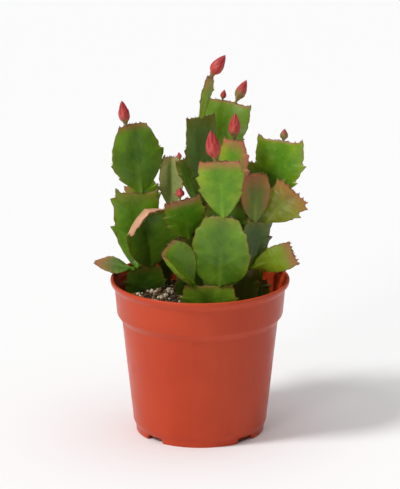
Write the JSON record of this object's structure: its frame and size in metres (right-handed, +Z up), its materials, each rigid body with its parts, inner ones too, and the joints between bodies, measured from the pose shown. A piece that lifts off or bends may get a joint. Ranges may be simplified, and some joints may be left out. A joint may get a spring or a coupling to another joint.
{
  "type": "potted christmas cactus",
  "caption": "Young christmas cactus with flat jointed stem segments and pointed pink flower buds, in a tapered terracotta-coloured plastic nursery pot with a collar and a flared lip.",
  "frame": {"origin": "on the surface the pot stands on, on the pot's axis, which is within 1 mm of the bounding box's bottom centre", "axes": "+Z up along the pot's axis, -Y the front that faces the viewer, +X to the viewer's right"},
  "size_m": [0.1278, 0.1092, 0.2284],
  "materials": {
    "pot_plastic": "satin",
    "peat_mix": "matte",
    "pad_dark": "satin",
    "pad_mid": "satin",
    "pad_light": "satin",
    "pad_blushed": "satin",
    "bud": "satin"
  },
  "bodies": {
    "root": {"pot": "pot_plastic", "potting_mix": "peat_mix", "back_inner": "pad_dark", "back_inner_upper": "pad_dark", "back_left_mid": "pad_dark", "back_left_root": "pad_dark", "back_left_upper": "pad_mid", "back_mid": "pad_dark", "back_right_mid": "pad_dark", "back_right_root": "pad_dark", "back_right_upper": "pad_dark", "back_root": "pad_dark", "centre_blushed": "pad_light", "centre_lower": "pad_dark", "centre_root": "pad_dark", "centre_thin": "pad_dark", "front_folded": "pad_mid", "front_root": "pad_dark", "front_round": "pad_mid", "front_upper": "pad_light", "left_folded": "pad_mid", "left_low": "pad_blushed", "left_root": "pad_dark", "left_upright": "pad_mid", "middle_root": "pad_dark", "middle_upper": "pad_light", "middle_upright": "pad_mid", "rear_centre": "pad_mid", "rear_centre_upper": "pad_light", "rear_left": "pad_mid", "rear_left_tip": "pad_light", "rear_right": "pad_mid", "rear_right_tip": "pad_blushed", "right_blushed": "pad_blushed", "right_low": "pad_light", "right_outer": "pad_blushed", "right_rear_mid": "pad_dark", "right_rear_root": "pad_dark", "right_rear_stem": "pad_mid", "right_root": "pad_dark", "right_upper": "pad_light", "right_upright": "pad_dark", "tall_back": "pad_dark", "tall_stalk": "pad_light", "upper_back": "pad_mid", "upper_left": "pad_mid", "centre_blushed_bud": "bud", "centre_thin_bud": "bud", "front_upper_bud": "bud", "middle_upper_bud": "bud", "rear_centre_bud": "bud", "right_upper_bud": "bud", "tall_stalk_bud": "bud", "upper_back_bud": "bud", "upper_back_bud_small": "bud", "upper_left_bud": "bud"}
  },
  "joints": []
}
